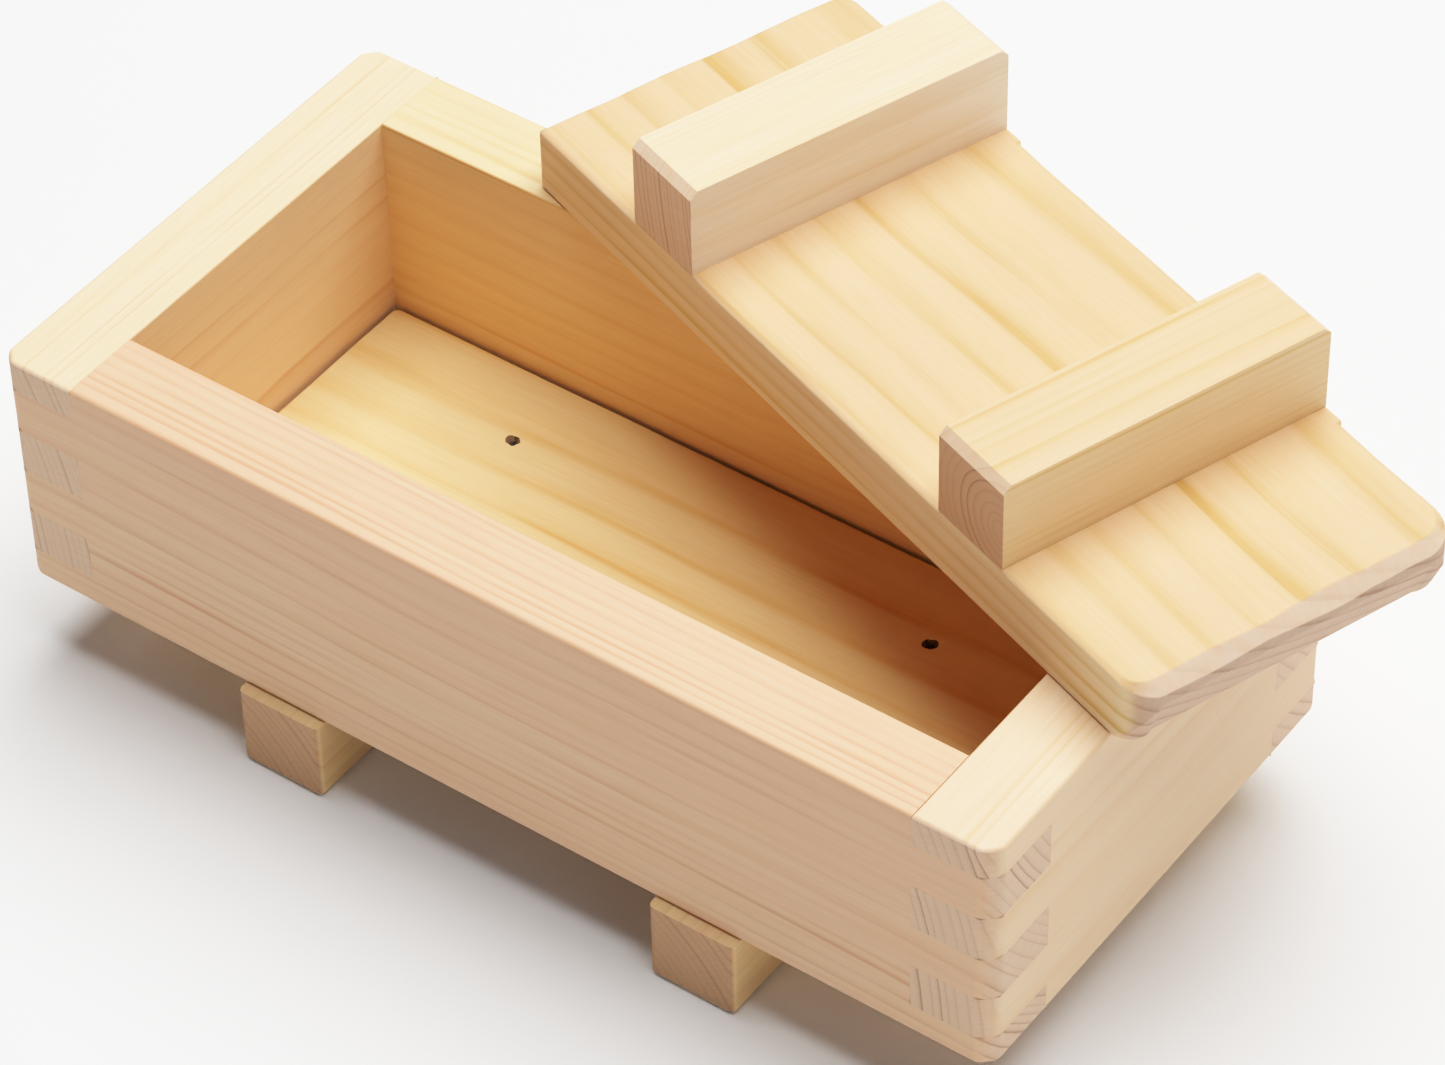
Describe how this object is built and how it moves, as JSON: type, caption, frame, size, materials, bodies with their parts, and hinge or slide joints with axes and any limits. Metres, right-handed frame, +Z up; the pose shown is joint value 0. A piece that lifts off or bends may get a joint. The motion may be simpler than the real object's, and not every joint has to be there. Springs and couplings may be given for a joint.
{
  "type": "pressed-rice mould",
  "caption": "Wooden press mould: a bottomless finger-jointed frame drops over a footed base board, and a flat lid with two battens for handles presses food down inside it.",
  "frame": {"origin": "middle of the mould's floor, the base board's top face", "axes": "+X along the frame's length, +Y from the front wall to the back wall, +Z up"},
  "size_m": [0.2264, 0.1489, 0.0965],
  "materials": {
    "wall_wood": "planed and sanded bare softwood, straight fine grain, pinkish tan",
    "board_wood": "planed bare softwood, flat-sawn, cream with golden bands",
    "batten_wood": "planed bare softwood, fine straight grain, pale cream",
    "nail_steel": "dull grey wire nail, head sunk below the wood"
  },
  "bodies": {
    "base": {"base_board": "board_wood", "left_foot": "batten_wood", "right_foot": "batten_wood", "base_nails": "nail_steel"},
    "frame": {"front_wall": "wall_wood", "back_wall": "wall_wood", "left_wall": "wall_wood", "right_wall": "wall_wood"},
    "lid": {"lid_board": "board_wood", "left_handle": "batten_wood", "right_handle": "batten_wood", "lid_nails": "nail_steel"}
  },
  "joints": [
    {"name": "frame_lift", "type": "slide", "parent": "base", "child": "frame", "axis": [0, 0, 1], "range_m": [0, 0.07]},
    {"name": "lid_lift", "type": "slide", "parent": "frame", "child": "lid", "axis": [0, 0, 1], "range_m": [0, 0.06]}
  ]
}
